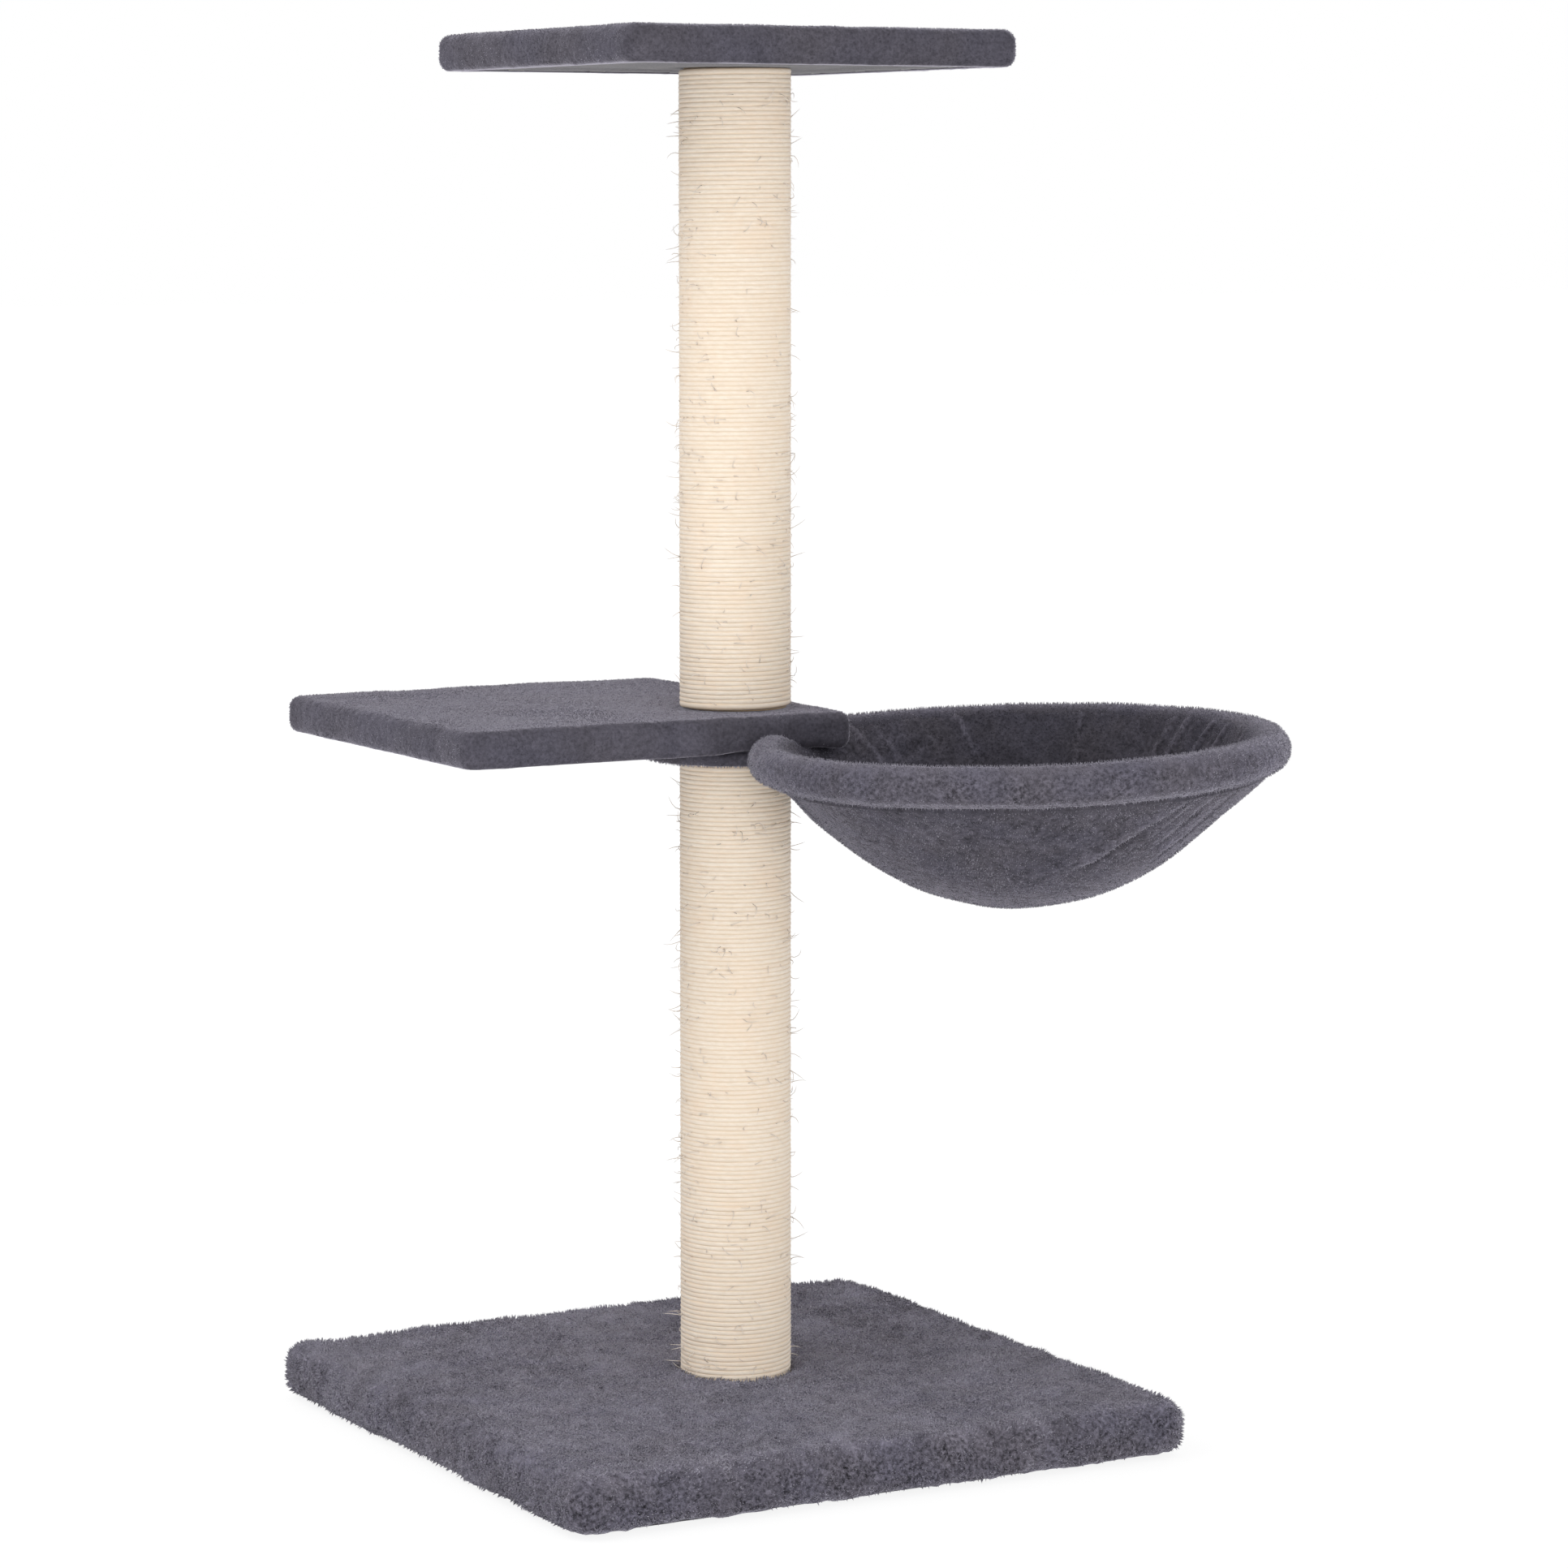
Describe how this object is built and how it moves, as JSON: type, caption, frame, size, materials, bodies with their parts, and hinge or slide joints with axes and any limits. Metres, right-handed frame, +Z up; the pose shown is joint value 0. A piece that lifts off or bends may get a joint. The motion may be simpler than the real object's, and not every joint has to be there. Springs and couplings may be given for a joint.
{
  "type": "cat tree",
  "caption": "Two-level cat tree: square plush base, rope-wound posts, square plush platforms and a round hanging fabric bowl beside the middle one.",
  "frame": {"origin": "where the posts' axis meets the base's underside, 7 mm from the underside's centre", "axes": "+Z up along the posts, +X to the right along the base's front edge, +Y from the front to the back; the hammock is at the front right"},
  "size_m": [0.4629, 0.513, 0.8256],
  "materials": {
    "board": "raw fibreboard",
    "wood": "raw softwood",
    "cardboard": "brown wound paperboard",
    "sisal": "twisted natural sisal, wispy",
    "long_plush": "shaggy dark grey long pile",
    "short_plush": "velvety dark grey short pile",
    "bowl_plush": "velvety dark grey short pile",
    "felt": "grey needle felt",
    "foam": "open-cell polyurethane foam",
    "zinc_steel": "zinc plated",
    "painted_steel": "black powder coat"
  },
  "bodies": {
    "base_and_posts": {"base_board": "board", "base_cover": "long_plush", "base_liner": "felt", "base_staples": "zinc_steel", "base_carriage_bolt": "zinc_steel", "lower_post_tube": "cardboard", "lower_post_sisal_rope": "sisal", "lower_post_foot_plug": "wood", "lower_post_head_plug": "wood", "lower_post_foot_tee_nut": "zinc_steel", "lower_post_head_tee_nut": "zinc_steel", "middle_stud": "zinc_steel", "upper_post_tube": "cardboard", "upper_post_sisal_rope": "sisal", "upper_post_foot_plug": "wood", "upper_post_head_plug": "wood", "upper_post_foot_tee_nut": "zinc_steel", "upper_post_head_tee_nut": "zinc_steel", "rope_staples": "zinc_steel"},
    "middle_level": {"bracket_cover": "short_plush", "hammock_frame": "painted_steel", "hammock_rim_foam": "foam", "hammock_rim_cover": "short_plush", "hammock_bowl": "bowl_plush", "middle_platform_board": "board", "middle_platform_cover": "short_plush", "middle_platform_liner": "felt", "middle_platform_staples": "zinc_steel"},
    "top_level": {"top_platform_board": "board", "top_platform_cover": "short_plush", "top_platform_liner": "felt", "top_platform_staples": "zinc_steel", "top_carriage_bolt": "zinc_steel"}
  },
  "joints": [
    {"name": "middle_level_swivel", "type": "hinge", "parent": "base_and_posts", "child": "middle_level", "pos_m": [0, 0, 0.409], "axis": [0, 0, 1], "continuous": true},
    {"name": "top_platform_swivel", "type": "hinge", "parent": "base_and_posts", "child": "top_level", "pos_m": [0, 0, 0.8043], "axis": [0, 0, 1], "continuous": true}
  ]
}
